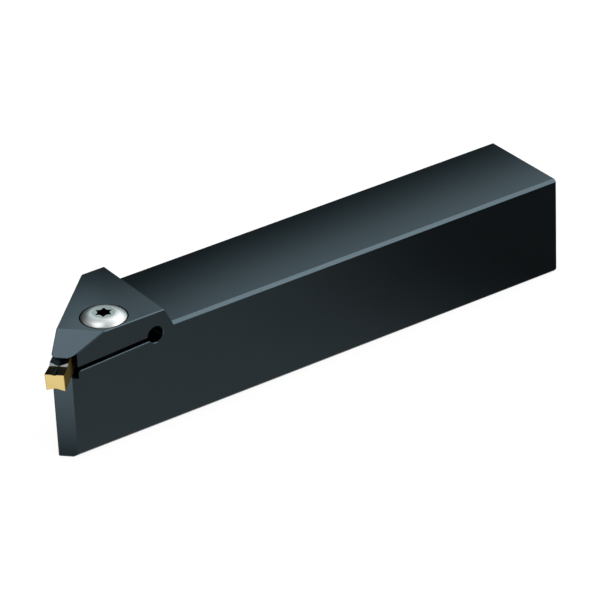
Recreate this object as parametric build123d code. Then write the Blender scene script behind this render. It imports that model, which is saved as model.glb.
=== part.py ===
"""Monoblock 45-degree grooving tool holder: holder body, clamping screw and cutting insert."""
from build123d import *
from math import cos, radians, sin, tan
import os

# Frame, in millimetres: +X runs along the shank to its rear end, +Z is up and the workpiece is
# at -X and -Y. The origin is on the shank's bottom face, on its middle plane.

# Shank
SHANK_HEIGHT = 25.0
SHANK_WIDTH = 25.0
SHANK_REAR_X = 75.0
LONG_EDGE_CHAMFER = 0.7
REAR_EDGE_CHAMFER = 0.45

# Cutting edge: its foremost corner from the rear end, its outermost corner from the back face
TOOL_LENGTH = 143.4
TOOL_WIDTH = 29.8
HEAD_ANGLE = 45.0

# Insert: double-ended, with a V groove along its top and bottom
INSERT_WIDTH = 4.4
INSERT_HEIGHT = 4.25
INSERT_LENGTH = 16.0
INSERT_SIDE_RELIEF = 0.05
INSERT_BACK_TAPER = 0.12
INSERT_FRONT_RELIEF_ANGLE = 7.0
INSERT_CORNER_RADIUS = 0.2
GROOVE_ANGLE = 16.0
RAKE_LENGTH = 4.1
RAKE_DROP = 0.2
CHIP_FORMER_ANGLE = 45.0

# Head
HEAD_RISE = 4.0
HEAD_LENGTH = 32.5
STEP_ANGLE = 26.0
INSERT_OVERHANG = 6.7
SIDE_OVERHANG = 0.01
BLADE_SIDE_MARGIN = 0.2
NOSE_SLOPE_LENGTH = 6.5
NOSE_SLOPE_ANGLE = 30.0
EDGE_BREAK = 0.2
BLADE_EDGE_CHAMFER = 0.3

# Insert pocket
SEAT_GAP = 0.02
STOP_GAP = 0.05
POCKET_SIDE_GAP = 1.1
POCKET_FLOOR_DEPTH = 4.8
POCKET_FLOOR_ANGLE = 27.0
POCKET_CORNER_RADIUS = 0.25
NOSE_RELIEF = 0.1
NOSE_RELIEF_LENGTH = 1.6

# Spring slit of the clamp arm and the relief hole at its root
RELIEF_HOLE_DIAMETER = 4.0
RELIEF_HOLE_FROM_TIP = 29.95
RELIEF_HOLE_BELOW_SHANK_TOP = 1.57
SLIT_THICKNESS = 1.0
SLIT_BELOW_HOLE_AXIS = 0.55
SLIT_ANGLE = 2.8
SLIT_MOUTH_RADIUS = 0.45
SLIT_EDGE_BREAK = 0.15

# Clamping screw
SCREW_BEHIND_EDGE = 19.6
SCREW_BESIDE_INSERT = 6.93
THREAD_DIAMETER = 6.0
THREAD_LENGTH = 16.0
THREAD_END_CHAMFER = 0.7
THREAD_FIT_GAP = 0.03
SCREW_HEAD_DIAMETER = 10.4
SCREW_HEAD_SIDE = 2.85
SCREW_DOME_RISE = 1.1
SCREW_DOME_FLAT_DIAMETER = 5.3
SCREW_DOME_RADIUS = 3.3
SCREW_RIM_ROUND = 0.15
SCREW_SEAT_GAP = 0.02
COUNTERBORE_GAP = 0.35
COUNTERBORE_DEPTH = 2.9
ARM_HOLE_GAP = 0.3
THREADED_HOLE_SPARE = 3.0
DRILL_POINT_ANGLE = 118.0

# Six-lobe socket in the screw head
SOCKET_ACROSS_LOBES = 3.95
SOCKET_ACROSS_FLUTES = 2.8
SOCKET_FLUTE_RADIUS = 0.95
SOCKET_LOBE_ROUND = 0.12
SOCKET_DEPTH = 2.4
SOCKET_TURN = -4.0
LOBES = 6

# How far the cutting tools reach past the metal that they remove, and the distance below which
# two places are the same
MARGIN = 2.0
REACH = TOOL_LENGTH + TOOL_WIDTH
SAME_PLACE = 1e-4

HALF_WIDTH = SHANK_WIDTH / 2
HEAD_TOP_Z = SHANK_HEIGHT + HEAD_RISE
TIP_X = SHANK_REAR_X - TOOL_LENGTH
TIP_Y = HALF_WIDTH - TOOL_WIDTH
GROOVE_SLOPE = tan(radians(GROOVE_ANGLE))

# Edge frame: origin at the middle of the cutting edge, X outward along the insert, Y across it
# towards the front face, Z up.
EDGE = Location(
    (
        TIP_X + INSERT_WIDTH / 2 * sin(radians(HEAD_ANGLE)),
        TIP_Y + INSERT_WIDTH / 2 * cos(radians(HEAD_ANGLE)),
        SHANK_HEIGHT,
    ),
    (0, 0, 180 + HEAD_ANGLE),
)
BLADE_HALF = INSERT_WIDTH / 2 - SIDE_OVERHANG
BLADE_SIDE = -BLADE_HALF - BLADE_SIDE_MARGIN
POCKET_WALL = INSERT_WIDTH / 2 + POCKET_SIDE_GAP
POCKET_WALL_FLOOR = POCKET_FLOOR_DEPTH + (POCKET_WALL - BLADE_HALF) * tan(radians(POCKET_FLOOR_ANGLE))
POCKET_STOP = INSERT_LENGTH + STOP_GAP
GROOVE_BOTTOM_Z = (INSERT_WIDTH / 2 - INSERT_SIDE_RELIEF) * GROOVE_SLOPE - INSERT_HEIGHT

SCREW_AXIS = EDGE * Pos(-SCREW_BEHIND_EDGE, SCREW_BESIDE_INSERT, 0)
SCREW_X = SCREW_AXIS.position.X
SCREW_Y = SCREW_AXIS.position.Y
COUNTERBORE_FLOOR_Z = HEAD_TOP_Z - COUNTERBORE_DEPTH
SCREW_SEAT_Z = COUNTERBORE_FLOOR_Z + SCREW_SEAT_GAP
RELIEF_HOLE_X = TIP_X + RELIEF_HOLE_FROM_TIP
RELIEF_HOLE_Z = SHANK_HEIGHT - RELIEF_HOLE_BELOW_SHANK_TOP


def prism(plane, points, length):
    """Extrude a closed outline, drawn in a plane, by a length along its normal."""
    return extrude(plane * make_face(Polyline(*points, close=True)), length)


def beyond(x=None, y=None):
    """A block in the edge frame that holds all that lies past x, or before y."""
    if x is not None:
        block = Box(REACH, 2 * REACH, REACH, align=(Align.MIN, Align.CENTER, Align.CENTER))
        return EDGE * Pos(x, 0, 0) * block
    block = Box(2 * REACH, REACH, REACH, align=(Align.CENTER, Align.MAX, Align.CENTER))
    return EDGE * Pos(0, y, 0) * block


def bar():
    """The forged bar: shank width, head height, with its two bottom long edges chamfered."""
    c = LONG_EDGE_CHAMFER
    outline = [
        (-HALF_WIDTH, c),
        (-HALF_WIDTH + c, 0),
        (HALF_WIDTH - c, 0),
        (HALF_WIDTH, c),
        (HALF_WIDTH, HEAD_TOP_Z),
        (-HALF_WIDTH, HEAD_TOP_Z),
    ]
    return Pos(TIP_X, 0, 0) * prism(Plane.YZ, outline, TOOL_LENGTH)


def above_shank():
    """The metal milled off above the chamfered shank top, as far as the sloped step."""
    c = LONG_EDGE_CHAMFER
    low = SHANK_HEIGHT - c - MARGIN
    high = HEAD_TOP_Z + MARGIN
    section = [
        (-HALF_WIDTH - MARGIN, low),
        (-HALF_WIDTH + c, SHANK_HEIGHT),
        (HALF_WIDTH - c, SHANK_HEIGHT),
        (HALF_WIDTH + MARGIN, low),
        (HALF_WIDTH + MARGIN, high),
        (-HALF_WIDTH - MARGIN, high),
    ]
    step_x = TIP_X + HEAD_LENGTH
    lean = tan(radians(STEP_ANGLE))
    side = [
        (step_x + (HEAD_TOP_Z - high) * lean, high),
        (SHANK_REAR_X + MARGIN, high),
        (SHANK_REAR_X + MARGIN, low),
        (step_x + (HEAD_TOP_Z - low) * lean, low),
    ]
    milled = Pos(TIP_X, 0, 0) * prism(Plane.YZ, section, REACH)
    behind_step = Pos(0, REACH / 2, 0) * prism(Plane.XZ, side, REACH)
    return milled & behind_step


def above_nose():
    """The metal milled off above the slope that falls to the clamp's nose."""
    crease = -INSERT_OVERHANG - NOSE_SLOPE_LENGTH
    fall = tan(radians(NOSE_SLOPE_ANGLE))
    run = NOSE_SLOPE_LENGTH + INSERT_OVERHANG
    outline = [
        (crease, HEAD_RISE),
        (crease + run, HEAD_RISE - run * fall),
        (crease + run, HEAD_RISE + MARGIN),
        (crease, HEAD_RISE + MARGIN),
    ]
    return EDGE * Pos(0, REACH / 2, 0) * prism(Plane.XZ, outline, REACH)


def blank():
    """The milled holder before its pocket, slit and holes."""
    body = bar() - beyond(x=-INSERT_OVERHANG) - beyond(y=BLADE_SIDE)
    body = body - above_shank() - above_nose()
    rear = body.faces().sort_by(Axis.X)[-1]
    body = chamfer(rear.edges(), REAR_EDGE_CHAMFER)
    top = body.faces().filter_by(Axis.Z).sort_by(Axis.Z)[-1]
    slope = [f for f in body.faces() if is_nose_slope(f)][0]
    shared = [e for e in top.edges() if any(e.is_same(s) for s in slope.edges())]
    rims = [e for e in top.edges() + slope.edges() if not any(e.is_same(s) for s in shared)]
    rims = [e for e in rims if not is_rear_rim(e)]
    return chamfer(rims, EDGE_BREAK)


def is_nose_slope(face):
    """Whether a face is the slope that falls towards the nose."""
    tilted = abs(face.normal_at().Z - cos(radians(NOSE_SLOPE_ANGLE))) < SAME_PLACE
    return tilted and face.center().Z > SHANK_HEIGHT


def is_rear_rim(edge):
    """Whether an edge of the head's top lies along its back or along its step, which stay sharp."""
    mid = edge.center()
    step_x = TIP_X + HEAD_LENGTH
    return abs(mid.Y - HALF_WIDTH) < SAME_PLACE or abs(mid.X - step_x) < SAME_PLACE


def seat_outline(lift=0.0):
    """Outline of the insert pocket across the blade: V seats below and above, side clearance."""
    left = -BLADE_HALF - MARGIN
    low_apex = GROOVE_BOTTOM_Z - SEAT_GAP
    high_apex = SEAT_GAP - RAKE_DROP + lift
    return [
        (left, low_apex + left * GROOVE_SLOPE),
        (0, low_apex),
        (BLADE_HALF, low_apex - BLADE_HALF * GROOVE_SLOPE),
        (BLADE_HALF, -POCKET_FLOOR_DEPTH),
        (POCKET_WALL, -POCKET_WALL_FLOOR),
        (POCKET_WALL, high_apex + POCKET_WALL * GROOVE_SLOPE),
        (0, high_apex),
        (left, high_apex - left * GROOVE_SLOPE),
    ]


def pocket():
    """The insert pocket, open at the end face and on the blade side."""
    face = make_face(Polyline(*seat_outline(), close=True))
    corners = [v for v in face.vertices() if abs(v.X - POCKET_WALL) < SAME_PLACE]
    face = fillet(corners, POCKET_CORNER_RADIUS)
    run = EDGE * Pos(-POCKET_STOP, 0, 0) * extrude(Plane.YZ * face, POCKET_STOP)
    relief = prism(Plane.YZ, seat_outline(NOSE_RELIEF), INSERT_OVERHANG + NOSE_RELIEF_LENGTH)
    return run + EDGE * Pos(-INSERT_OVERHANG - NOSE_RELIEF_LENGTH, 0, 0) * relief


def slit():
    """The spring slit across the head, from the relief hole to the pocket."""
    length = RELIEF_HOLE_X - TIP_X
    fall = length * tan(radians(SLIT_ANGLE))
    centre = RELIEF_HOLE_Z - SLIT_BELOW_HOLE_AXIS
    half = SLIT_THICKNESS / 2
    outline = [
        (RELIEF_HOLE_X, centre - half),
        (RELIEF_HOLE_X, centre + half),
        (TIP_X, centre - fall + half),
        (TIP_X, centre - fall - half),
    ]
    cut = Pos(0, REACH / 2, 0) * prism(Plane.XZ, outline, REACH)
    keep = Pos(-POCKET_STOP, POCKET_WALL, 0) * Box(
        REACH, REACH, REACH, align=(Align.MIN, Align.MAX, Align.CENTER)
    )
    return cut - EDGE * keep


def relief_hole():
    """The cross hole that ends the slit."""
    return Pos(RELIEF_HOLE_X, 0, RELIEF_HOLE_Z) * Rot(90, 0, 0) * Cylinder(RELIEF_HOLE_DIAMETER / 2, REACH)


def screw_hole():
    """Counterbore and clearance hole through the arm, threaded hole with a drill point below."""
    thread_r = THREAD_DIAMETER / 2 + THREAD_FIT_GAP
    arm_r = THREAD_DIAMETER / 2 + ARM_HOLE_GAP
    bore_r = SCREW_HEAD_DIAMETER / 2 + COUNTERBORE_GAP
    thread_top = RELIEF_HOLE_Z - SLIT_BELOW_HOLE_AXIS - SLIT_THICKNESS
    bottom = SCREW_SEAT_Z - THREAD_LENGTH - THREADED_HOLE_SPARE
    point = thread_r / tan(radians(DRILL_POINT_ANGLE / 2))
    profile = [
        (0, bottom - point),
        (thread_r, bottom),
        (thread_r, thread_top),
        (arm_r, thread_top),
        (arm_r, COUNTERBORE_FLOOR_Z),
        (bore_r, COUNTERBORE_FLOOR_Z),
        (bore_r, HEAD_TOP_Z + MARGIN),
        (0, HEAD_TOP_Z + MARGIN),
    ]
    turned = revolve(Plane.XZ * make_face(Polyline(*profile, close=True)), Axis.Z)
    return Pos(SCREW_X, SCREW_Y, 0) * turned


def holder():
    """The one-piece holder with its spring clamp arm."""
    body = blank() - pocket() - slit()
    mouth = [e for e in body.edges() if is_mouth(e)]
    body = fillet(mouth, SLIT_MOUTH_RADIUS) - relief_hole() - screw_hole()
    corner = [e for e in body.edges() if is_blade_corner(e)]
    body = chamfer(corner, BLADE_EDGE_CHAMFER)
    return chamfer([e for e in body.edges() if is_slit_rim(e)], SLIT_EDGE_BREAK)


def is_mouth(edge):
    """Whether an edge is the lower lip of the slit's mouth in the pocket wall."""
    place = (EDGE.inverse() * Pos(*edge.center())).position
    low = RELIEF_HOLE_Z - SHANK_HEIGHT - SLIT_BELOW_HOLE_AXIS - SLIT_THICKNESS / 2
    on_wall = abs(place.Y - POCKET_WALL) < SAME_PLACE
    return on_wall and -POCKET_FLOOR_DEPTH < place.Z < low and edge.length > POCKET_WALL


def is_slit_rim(edge):
    """Whether an edge of the front face runs along the slit or round its mouth or its hole."""
    mid = edge.center()
    beside = RELIEF_HOLE_Z - RELIEF_HOLE_DIAMETER / 2 < mid.Z < RELIEF_HOLE_Z
    lip = beside and edge.length > RELIEF_HOLE_DIAMETER and edge.geom_type == GeomType.LINE
    return abs(mid.Y + HALF_WIDTH) < SAME_PLACE and (lip or edge.geom_type != GeomType.LINE)


def is_blade_corner(edge):
    """Whether an edge is the upright corner of the blade's end face, away from the front face."""
    place = (EDGE.inverse() * Pos(*edge.center())).position
    at_end = abs(place.X + INSERT_OVERHANG) < SAME_PLACE
    return at_end and abs(place.Y - BLADE_SIDE) < SAME_PLACE and place.Z < -INSERT_HEIGHT


def insert_body():
    """The insert: grooved bar, ground on its ends and sides, with a chip former at each end."""
    half = INSERT_WIDTH / 2
    foot = half - INSERT_SIDE_RELIEF
    high = half * GROOVE_SLOPE - RAKE_DROP
    section = [
        (-foot, -INSERT_HEIGHT),
        (0, GROOVE_BOTTOM_Z),
        (foot, -INSERT_HEIGHT),
        (half, 0),
        (half, high),
        (0, -RAKE_DROP),
        (-half, high),
        (-half, 0),
    ]
    grooved = Pos(-INSERT_LENGTH, 0, 0) * prism(Plane.YZ, section, INSERT_LENGTH)
    waist = half - INSERT_BACK_TAPER
    plan_half = [(0, half), (-RAKE_LENGTH, waist), (RAKE_LENGTH - INSERT_LENGTH, waist), (-INSERT_LENGTH, half)]
    plan = plan_half + [(x, -y) for x, y in reversed(plan_half)]
    ground = Pos(0, 0, -INSERT_HEIGHT - MARGIN) * prism(Plane.XY, plan, INSERT_HEIGHT + 2 * MARGIN)
    back = INSERT_HEIGHT * tan(radians(INSERT_FRONT_RELIEF_ANGLE))
    wall = (high + RAKE_DROP) / tan(radians(CHIP_FORMER_ANGLE))
    side_half = [
        (-back, -INSERT_HEIGHT),
        (0, 0),
        (-RAKE_LENGTH, -RAKE_DROP),
        (-RAKE_LENGTH - wall, high),
    ]
    side = side_half + [(-INSERT_LENGTH - x, z) for x, z in reversed(side_half)]
    profile = Pos(0, INSERT_WIDTH, 0) * prism(Plane.XZ, side, 2 * INSERT_WIDTH)
    return grooved & ground & profile


def cutting_insert():
    """The insert with rounded cutting corners, seated in the pocket."""
    body = insert_body()
    corners = [e for e in body.edges() if is_corner(e)]
    return EDGE * fillet(corners, INSERT_CORNER_RADIUS)


def is_corner(edge):
    """Whether an edge runs down from one of the four cutting corners."""
    mid = edge.center()
    out = abs(mid.X + INSERT_LENGTH / 2) > INSERT_LENGTH / 2 - RAKE_LENGTH / 2
    return out and abs(mid.Y) > BLADE_HALF - INSERT_SIDE_RELIEF and edge.length > INSERT_HEIGHT / 2 and (
        abs(edge.tangent_at(0.5).Z) > 0.9
    )


def socket():
    """The six-lobe socket, ending in a shallow cone."""
    outer = SOCKET_ACROSS_LOBES / 2
    flute_at = SOCKET_ACROSS_FLUTES / 2 + SOCKET_FLUTE_RADIUS
    shape = Circle(outer)
    for k in range(LOBES):
        turn = SOCKET_TURN + (k + 0.5) * 360 / LOBES
        shape -= Rot(0, 0, turn) * Pos(flute_at, 0) * Circle(SOCKET_FLUTE_RADIUS)
    shape = fillet(shape.vertices(), SOCKET_LOBE_ROUND)
    return extrude(shape, SOCKET_DEPTH)


def clamping_screw():
    """The domed socket screw, its head on the counterbore floor."""
    head_r = SCREW_HEAD_DIAMETER / 2
    flat_r = SCREW_DOME_FLAT_DIAMETER / 2
    thread_r = THREAD_DIAMETER / 2
    rim_z = SCREW_SEAT_Z + SCREW_HEAD_SIDE
    top_z = rim_z + SCREW_DOME_RISE
    end_z = SCREW_SEAT_Z - THREAD_LENGTH
    dome = RadiusArc((head_r, rim_z), (flat_r, top_z), SCREW_DOME_RADIUS)
    lower = Polyline(
        (flat_r, top_z),
        (0, top_z),
        (0, end_z),
        (thread_r - THREAD_END_CHAMFER, end_z),
        (thread_r, end_z + THREAD_END_CHAMFER),
        (thread_r, SCREW_SEAT_Z),
        (head_r, SCREW_SEAT_Z),
        (head_r, rim_z),
    )
    body = revolve(Plane.XZ * make_face(dome + lower), Axis.Z)
    rims = [e for e in body.edges() if e.geom_type == GeomType.CIRCLE and abs(e.radius - head_r) < SAME_PLACE]
    body = fillet(rims, SCREW_RIM_ROUND)
    body -= Pos(0, 0, top_z - SOCKET_DEPTH) * socket()
    return Pos(SCREW_X, SCREW_Y, 0) * body


os.makedirs("parts", exist_ok=True)
export_step(holder(), "parts/holder_body.step")
export_step(clamping_screw(), "parts/clamping_screw.step")
export_step(cutting_insert(), "parts/cutting_insert.step")
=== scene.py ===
import math

import bpy
from mathutils import Matrix, Vector


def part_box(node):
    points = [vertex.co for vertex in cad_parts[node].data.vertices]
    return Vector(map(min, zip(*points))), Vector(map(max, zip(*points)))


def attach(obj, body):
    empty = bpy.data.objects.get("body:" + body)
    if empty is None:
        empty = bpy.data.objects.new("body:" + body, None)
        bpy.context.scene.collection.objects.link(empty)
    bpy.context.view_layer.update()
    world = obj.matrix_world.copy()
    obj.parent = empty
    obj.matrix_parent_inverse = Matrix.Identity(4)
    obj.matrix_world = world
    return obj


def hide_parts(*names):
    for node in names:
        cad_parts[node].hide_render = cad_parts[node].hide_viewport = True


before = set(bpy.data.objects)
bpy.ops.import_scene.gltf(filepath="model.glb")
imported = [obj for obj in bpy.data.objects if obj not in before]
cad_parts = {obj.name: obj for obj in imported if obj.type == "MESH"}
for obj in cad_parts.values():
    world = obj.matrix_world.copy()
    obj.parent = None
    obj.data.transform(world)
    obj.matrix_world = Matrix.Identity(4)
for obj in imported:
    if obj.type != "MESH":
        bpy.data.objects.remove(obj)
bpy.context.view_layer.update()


# ---- Holder body -------------------------------------------------------------------------
# One bar of alloy steel, milled, ground and chemically blackened. The finish is a thin dark
# blue-black oxide with a satin sheen, over fine grinding lines that run along the shank.
def metal(name):
    """A metallic material, its node tree and its surface shader."""
    material = bpy.data.materials.new(name)
    material.use_nodes = True
    surface = material.node_tree.nodes["Principled BSDF"]
    surface.inputs["Metallic"].default_value = 1.0
    return material, material.node_tree, surface


def node(tree, kind, inputs, **settings):
    """A shader node, each of whose inputs gets a value or another node's output."""
    made = tree.nodes.new(kind)
    for setting, value in settings.items():
        setattr(made, setting, value)
    for socket, value in inputs.items():
        if isinstance(value, bpy.types.NodeSocket):
            tree.links.new(value, made.inputs[socket])
        else:
            made.inputs[socket].default_value = value
    return made


def colour_between(tree, share, first, second):
    """The colour at a share of the way from the first to the second."""
    return node(tree, "ShaderNodeMix", {0: share, 6: first, 7: second}, data_type="RGBA").outputs[2]


def spread(tree, value, low, high):
    """A value from 0 to 1 spread from low to high."""
    return node(tree, "ShaderNodeMapRange", {"Value": value, "To Min": low, "To Max": high}).outputs["Result"]


def dress(node_name, material):
    """Give one of the tool's solids its material."""
    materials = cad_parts[node_name].data.materials
    materials.clear()
    materials.append(material)


holder_mat, tree, surface = metal("blackened_steel")
coords = node(tree, "ShaderNodeTexCoord", {})
clouds = node(tree, "ShaderNodeTexNoise", {"Vector": coords.outputs["Object"], "Scale": 90.0, "Detail": 4.0})
oxide = colour_between(tree, clouds.outputs["Fac"], (0.034, 0.047, 0.055, 1.0), (0.038, 0.052, 0.061, 1.0))
tree.links.new(oxide, surface.inputs["Base Color"])
along_shank = (120.0, 4200.0, 4200.0)
stretch = node(tree, "ShaderNodeMapping", {"Vector": coords.outputs["Object"], "Scale": along_shank})
lines = node(tree, "ShaderNodeTexNoise", {"Vector": stretch.outputs["Vector"], "Scale": 1.0, "Detail": 3.0})
tree.links.new(spread(tree, lines.outputs["Fac"], 0.27, 0.34), surface.inputs["Roughness"])
bump = node(tree, "ShaderNodeBump", {"Height": lines.outputs["Fac"], "Strength": 0.05, "Distance": 0.00002})
tree.links.new(bump.outputs["Normal"], surface.inputs["Normal"])
dress("holder_body", holder_mat)

# ---- Clamping screw ----------------------------------------------------------------------
# A hardened socket screw with a satin round dome, turned here as one closed mesh with the
# solid screw's diameters and heights, in millimetres. Its six-lobe socket is painted near-black
# inside as painted shade in the recess, and the flat round it is coloured darker than the dome.
low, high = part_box("clamping_screw")
screw_axis = ((low.x + high.x) / 2, (low.y + high.y) / 2, high.z)
end_z, top_z = low.z * 1000, high.z * 1000
seat_z, side_z = 26.12, 28.97
tip_r, thread_r, head_r, edge_round = 2.3, 3.0, 5.2, 0.15
flat_r, flat_slope, rim_slope = 2.65, math.radians(4.6), math.radians(42.0)
socket_depth, lobe_r, flute_centre, flute_r, socket_turn = 2.4, 1.975, 2.35, 0.95, -4.0
turns, rim_steps, dome_steps, crease = 180, 8, 16, math.radians(9)


def socket_radius(angle):
    """Distance from the axis to the six-lobe socket's wall, at an angle in degrees."""
    aside = math.radians((angle - socket_turn) % 60 - 30)
    reach = flute_centre * math.sin(aside)
    if abs(reach) >= flute_r:
        return lobe_r
    return min(lobe_r, flute_centre * math.cos(aside) - math.sqrt(flute_r ** 2 - reach ** 2))


def on_arc(centre, radius, lean):
    """The point of a round profile, as radius and height, where its surface leans by an angle."""
    return centre[0] + radius * math.sin(lean), centre[1] + radius * math.cos(lean)


chord = math.hypot(head_r - flat_r, top_z - side_z)
dome_r = chord / 2 / math.sin((rim_slope - flat_slope) / 2)
dome_centre = (flat_r - dome_r * math.sin(flat_slope), top_z - dome_r * math.cos(flat_slope))
round_x = head_r - edge_round
meeting = math.asin((round_x + edge_round * math.sin(rim_slope) - dome_centre[0]) / dome_r)
rim = on_arc(dome_centre, dome_r, meeting)
round_centre = (rim[0] - edge_round * math.sin(meeting), rim[1] - edge_round * math.cos(meeting))
profile = [
    (tip_r, end_z), (thread_r, end_z + thread_r - tip_r), (thread_r, seat_z),
    (round_x, seat_z), (head_r - 0.05, seat_z + 0.04), (head_r, seat_z + edge_round),
]
for i in range(rim_steps + 1):
    profile.append(on_arc(round_centre, edge_round, math.pi / 2 + (meeting - math.pi / 2) * i / rim_steps))
for i in range(1, dome_steps + 1):
    profile.append(on_arc(dome_centre, dome_r, meeting + (flat_slope - meeting) * i / dome_steps))
wall = [socket_radius(360 * k / turns) for k in range(turns)]
rings = [([radius] * turns, z) for radius, z in profile]
rings += [(wall, top_z), (wall, top_z - socket_depth)]
points = [
    (screw_axis[0] + radii[k] / 1000 * math.cos(math.tau * k / turns),
     screw_axis[1] + radii[k] / 1000 * math.sin(math.tau * k / turns), z / 1000)
    for radii, z in rings
    for k in range(turns)
]
faces = [
    (i * turns + k, i * turns + (k + 1) % turns, (i + 1) * turns + (k + 1) % turns, (i + 1) * turns + k)
    for i in range(len(rings) - 1)
    for k in range(turns)
]
tip, floor_ring = len(points), (len(rings) - 1) * turns
points += [(*screw_axis[:2], end_z / 1000), (*screw_axis[:2], (top_z - socket_depth) / 1000)]
faces += [((k + 1) % turns, k, tip) for k in range(turns)]
faces += [(floor_ring + k, floor_ring + (k + 1) % turns, tip + 1) for k in range(turns)]
screw_mesh = bpy.data.meshes.new("turned_screw")
screw_mesh.from_pydata(points, [], faces)
screw_mesh.shade_smooth()
screw_mesh.set_sharp_from_angle(angle=crease)
turned_screw = bpy.data.objects.new("turned_screw", screw_mesh)
bpy.context.collection.objects.link(turned_screw)

screw_mat, tree, surface = metal("satin_screw_steel")
coords = node(tree, "ShaderNodeTexCoord", {})
from_top = node(
    tree, "ShaderNodeVectorMath", {0: coords.outputs["Object"], 1: screw_axis}, operation="SUBTRACT"
).outputs["Vector"]
aside = node(tree, "ShaderNodeVectorMath", {0: from_top, 1: (1.0, 1.0, 0.0)}, operation="MULTIPLY")
radius = node(tree, "ShaderNodeVectorMath", {0: aside.outputs["Vector"]}, operation="LENGTH").outputs["Value"]
height = node(tree, "ShaderNodeSeparateXYZ", {"Vector": from_top}).outputs["Z"]
socket_reach, just_below, flat_end, dome_start = 0.00205, -0.00004, 0.00262, 0.00274
within = node(tree, "ShaderNodeMath", {0: radius, 1: socket_reach}, operation="LESS_THAN")
below = node(tree, "ShaderNodeMath", {0: height, 1: just_below}, operation="LESS_THAN")
socket_painted_shade = node(
    tree, "ShaderNodeMath", {0: within.outputs["Value"], 1: below.outputs["Value"]}, operation="MULTIPLY"
)
on_dome = node(tree, "ShaderNodeMapRange", {"Value": radius, "From Min": flat_end, "From Max": dome_start})
steel = colour_between(tree, on_dome.outputs["Result"], (0.30, 0.33, 0.32, 1.0), (0.50, 0.52, 0.515, 1.0))
# Painted shade: the inside of the socket recess is coloured near-black.
steel = colour_between(tree, socket_painted_shade.outputs["Value"], steel, (0.008, 0.008, 0.010, 1.0))
tree.links.new(steel, surface.inputs["Base Color"])
turning = node(tree, "ShaderNodeTexNoise", {"W": radius, "Scale": 9000.0}, noise_dimensions="1D")
tree.links.new(spread(tree, turning.outputs["Fac"], 0.36, 0.42), surface.inputs["Roughness"])
screw_mesh.materials.append(screw_mat)
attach(turned_screw, "screw")
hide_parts("clamping_screw")

# ---- Cutting insert ----------------------------------------------------------------------
# Sintered carbide with a gold-coloured coating on its ground flanks. Its rake faces are
# smooth and black, and the chip former's sloping wall is painted near-white as a painted highlight.
insert_mat, tree, surface = metal("coated_carbide")
surface.inputs["Specular Tint"].default_value = (0.62, 0.5, 0.2, 1.0)
coords = node(tree, "ShaderNodeTexCoord", {})
upward = node(tree, "ShaderNodeSeparateXYZ", {"Vector": coords.outputs["Normal"]}).outputs["Z"]
grain = node(tree, "ShaderNodeTexNoise", {"Vector": coords.outputs["Object"], "Scale": 900.0, "Detail": 5.0})
gold = colour_between(tree, grain.outputs["Fac"], (0.42, 0.31, 0.12, 1.0), (0.47, 0.35, 0.145, 1.0))
on_top = node(tree, "ShaderNodeMath", {0: upward, 1: 0.3}, operation="GREATER_THAN")
on_rake = node(tree, "ShaderNodeMath", {0: upward, 1: 0.85}, operation="GREATER_THAN")
# Painted highlight: top faces that slope between the rake and the flanks get a near-white colour.
former_wall_highlight, rake = (0.80, 0.84, 0.84, 1.0), (0.005, 0.0115, 0.021, 1.0)
top_tone = colour_between(tree, on_rake.outputs["Value"], former_wall_highlight, rake)
coating = colour_between(tree, on_top.outputs["Value"], gold, top_tone)
tree.links.new(coating, surface.inputs["Base Color"])
tree.links.new(spread(tree, grain.outputs["Fac"], 0.3, 0.42), surface.inputs["Roughness"])
dress("cutting_insert", insert_mat)


# ---- Floor -------------------------------------------------------------------------------
# A plain pale studio floor that keeps the tool's soft shadow. Metal mirrors it as white.
def bare_material(name):
    """A material, its node tree with nothing in it, and the output added to that tree."""
    material = bpy.data.materials.new(name)
    material.use_nodes = True
    material.node_tree.nodes.clear()
    return material, material.node_tree, material.node_tree.nodes.new("ShaderNodeOutputMaterial")


def seen_or_mirrored(tree):
    """1 where the camera sees the surface, itself or in metal or glass, and 0 for all other light."""
    path = node(tree, "ShaderNodeLightPath", {})
    mirrored = node(
        tree, "ShaderNodeMath",
        {0: path.outputs["Is Glossy Ray"], 1: path.outputs["Is Transmission Ray"]}, operation="MAXIMUM",
    )
    return node(
        tree, "ShaderNodeMath",
        {0: path.outputs["Is Camera Ray"], 1: mirrored.outputs["Value"]}, operation="MAXIMUM",
    ).outputs["Value"]


bpy.ops.mesh.primitive_plane_add(size=8.0, location=(0, 0, 0))
floor = bpy.context.object
floor.name = "floor"
floor_mat, tree, out = bare_material("floor")
matt = node(tree, "ShaderNodeBsdfDiffuse", {"Color": (0.8, 0.8, 0.8, 1.0)})
shadow = node(tree, "ShaderNodeBsdfDiffuse", {"Color": (0.16, 0.16, 0.16, 1.0)})
white = node(tree, "ShaderNodeEmission", {"Color": (1.0, 1.0, 1.0, 1.0), "Strength": 0.9})
seen = node(tree, "ShaderNodeAddShader", {0: shadow.outputs["BSDF"], 1: white.outputs["Emission"]})
mix = node(
    tree, "ShaderNodeMixShader",
    {0: seen_or_mirrored(tree), 1: matt.outputs["BSDF"], 2: seen.outputs["Shader"]},
)
tree.links.new(mix.outputs["Shader"], out.inputs["Surface"])
floor.data.materials.append(floor_mat)
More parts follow.
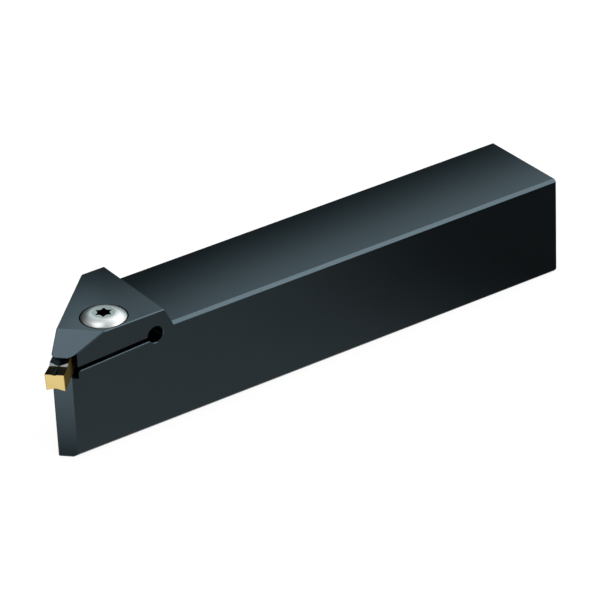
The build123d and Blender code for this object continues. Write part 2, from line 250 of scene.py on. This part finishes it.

# ---- Reflection cards --------------------------------------------------------------------
# Graded glowing cards, painted reflections that show only in the metal's reflections: two lie on
# the floor, along the shank's front and before the nose, one stands behind the shank, one at the left, one is
# overhead.
card_mat, tree, out = bare_material("reflection_card")
path = node(tree, "ShaderNodeLightPath", {})
clear = node(tree, "ShaderNodeBsdfTransparent", {})
painted = node(tree, "ShaderNodeAttribute", {}, attribute_name="glow")
light = node(tree, "ShaderNodeEmission", {"Color": painted.outputs["Color"]})
only_glossy = node(
    tree, "ShaderNodeMixShader",
    {0: path.outputs["Is Glossy Ray"], 1: clear.outputs["BSDF"], 2: light.outputs["Emission"]},
)
tree.links.new(only_glossy.outputs["Shader"], out.inputs["Surface"])
column_width, row_height, card_lift = 0.0025, 0.0015, 0.0003
front_y, end_face, root_half = -0.0125, 0.0517, math.sqrt(0.5)
floor_out, floor_along = 1.474, 0.98


def blend(value, stops):
    """The level at a value, between the levels written at a few stops."""
    for (low, first), (high, second) in zip(stops, stops[1:]):
        if value <= high:
            share = max(0.0, (value - low) / (high - low))
            return first + (second - first) * share
    return stops[-1][1]


def graded_card(name, corner, width, height, shade):
    """A card spanned by two edge vectors from a corner; shade gives the glow at a point of it."""
    across, upward = Vector(width), Vector(height)
    columns = max(1, round(across.length / column_width))
    rows = max(1, round(upward.length / row_height))
    points = [
        Vector(corner) + across * i / columns + upward * j / rows
        for j in range(rows + 1)
        for i in range(columns + 1)
    ]
    step = columns + 1
    faces = [
        (j * step + i, j * step + i + 1, (j + 1) * step + i + 1, (j + 1) * step + i)
        for j in range(rows)
        for i in range(columns)
    ]
    mesh = bpy.data.meshes.new(name)
    mesh.from_pydata(points, [], faces)
    glow = mesh.color_attributes.new("glow", "FLOAT_COLOR", "POINT")
    for point, entry in zip(points, glow.data):
        entry.color = (*shade(point), 1.0)
    mesh.materials.append(card_mat)
    card = bpy.data.objects.new(name, mesh)
    bpy.context.collection.objects.link(card)


def front_shade(point):
    """Bright before the head, fading along the shank. The fade slants as it rises up the side.

    The side face mirrors the floor further out and along, the higher it is on the face.
    """
    rise = max(0.0, (front_y - point.y) / floor_out)
    slant = blend(rise, [(0.0, 0.0), (0.015, 0.02), (0.05, 0.045)])
    along = point.x - floor_along * rise + slant
    level = blend(along, [(-0.06, 0.66), (0.0, 0.58), (0.02, 0.47), (0.055, 0.16), (0.07, 0.10)])
    return level, level, level * 0.96


graded_card("front_card", (-0.060, -0.20, card_lift), (0.26, 0, 0), (0, 0.2125, 0), front_shade)


def back_shade(point):
    """Dark low down and bright high up, with a paler patch beside the head."""
    tone = blend(point.z, [(0.040, 0.04), (0.046, 0.38), (0.053, 1.55), (0.057, 1.8)])
    tone *= blend(point.x, [(-0.046, 0.12), (-0.038, 0.95), (-0.019, 0.75), (0.008, 1.0)])
    patch = blend(point.x, [(-0.046, 0.0), (-0.038, 0.65), (-0.031, 0.65), (-0.025, 0.0)])
    level = tone + patch * blend(point.z, [(0.040, 0.1), (0.048, 1.0)])
    return level * 0.8, level * 0.97, level


graded_card("back_card", (-0.25, 0.030, 0.020), (0.60, 0, 0), (0, 0, 0.045), back_shade)


def overhead_shade(point):
    """Dim over the insert, brighter over the shank."""
    level = blend(point.x, [(-0.080, 0.15), (-0.050, 0.3), (-0.030, 0.65)])
    return level * 0.93, level * 1.03, level * 1.04


graded_card("overhead_card", (-0.140, -0.12, 0.120), (0.110, 0, 0), (0, 0.18, 0), overhead_shade)


def left_shade(point):
    """Even and dim."""
    return 0.12, 0.13, 0.13


graded_card("left_card", (-0.140, -0.12, 0.030), (0, 0.18, 0), (0, 0, 0.090), left_shade)


def nose_shade(point):
    """Dim at the foot of the blade and brighter with the distance from its end face."""
    off = (-point.x - point.y) * root_half - end_face
    level = blend(off, [(0.0, 0.4), (0.035, 2.3), (0.070, 2.3), (0.090, 1.2)])
    return level * 0.97, level, level


graded_card("nose_card", (-0.0601, -0.10, card_lift), (-0.10, 0, 0), (0, 0.13, 0), nose_shade)

# ---- Lamps -------------------------------------------------------------------------------
# Two soft boxes, the key high at the right and one high at the front, and a small lamp close
# over the nose, which lights the slope of the clamp arm.
middle, arm_slope = (0, 0, 0), (-0.061, -0.009, 0.027)
for name, place, aim, size, power in (
    ("key", (0.4832, 0.176, 0.6128), middle, 0.50, 1.5),
    ("front_right", (0.3832, -0.3968, 0.5796), middle, 0.36, 1.8),
    ("nose_lamp", (-0.0722, 0.0018, 0.117), arm_slope, 0.050, 0.028),
):
    lamp_data = bpy.data.lights.new(name, "AREA")
    lamp_data.size = size
    lamp_data.energy = power
    lamp = bpy.data.objects.new(name, lamp_data)
    lamp.location = place
    lamp.rotation_euler = (Vector(aim) - Vector(place)).to_track_quat("-Z", "Y").to_euler()
    lamp.visible_camera = False
    bpy.context.collection.objects.link(lamp)

# ---- World -------------------------------------------------------------------------------
# White to the camera and in the metal's reflections, a grey room to all other light.
world = bpy.data.worlds.new("studio")
bpy.context.scene.world = world
world.use_nodes = True
tree = world.node_tree
tree.nodes.clear()
out = tree.nodes.new("ShaderNodeOutputWorld")
room = node(tree, "ShaderNodeBackground", {"Color": (1.0, 1.0, 1.0, 1.0), "Strength": 0.5})
white = node(tree, "ShaderNodeBackground", {"Color": (1.0, 1.0, 1.0, 1.0), "Strength": 1.0})
mix = node(
    tree, "ShaderNodeMixShader",
    {0: seen_or_mirrored(tree), 1: room.outputs["Background"], 2: white.outputs["Background"]},
)
tree.links.new(mix.outputs["Shader"], out.inputs["Surface"])

# ---- Camera ------------------------------------------------------------------------------
# A long lens from the front left, about 30 degrees down, with a slight roll.
right = Vector((0.820031, -0.571031, -0.038386))
up = Vector((0.308751, 0.384914, 0.869778))
camera_data = bpy.data.cameras.new("camera")
camera_data.sensor_width = 36.0
camera_data.lens = 222.144
camera_data.clip_start = 0.01
camera = bpy.data.objects.new("camera", camera_data)
turn = Matrix((right, up, right.cross(up))).transposed().to_4x4()
camera.matrix_world = Matrix.Translation((-0.406403, -0.624661, 0.433817)) @ turn
bpy.context.collection.objects.link(camera)
bpy.context.scene.camera = camera

bpy.context.scene.view_settings.view_transform = "Standard"
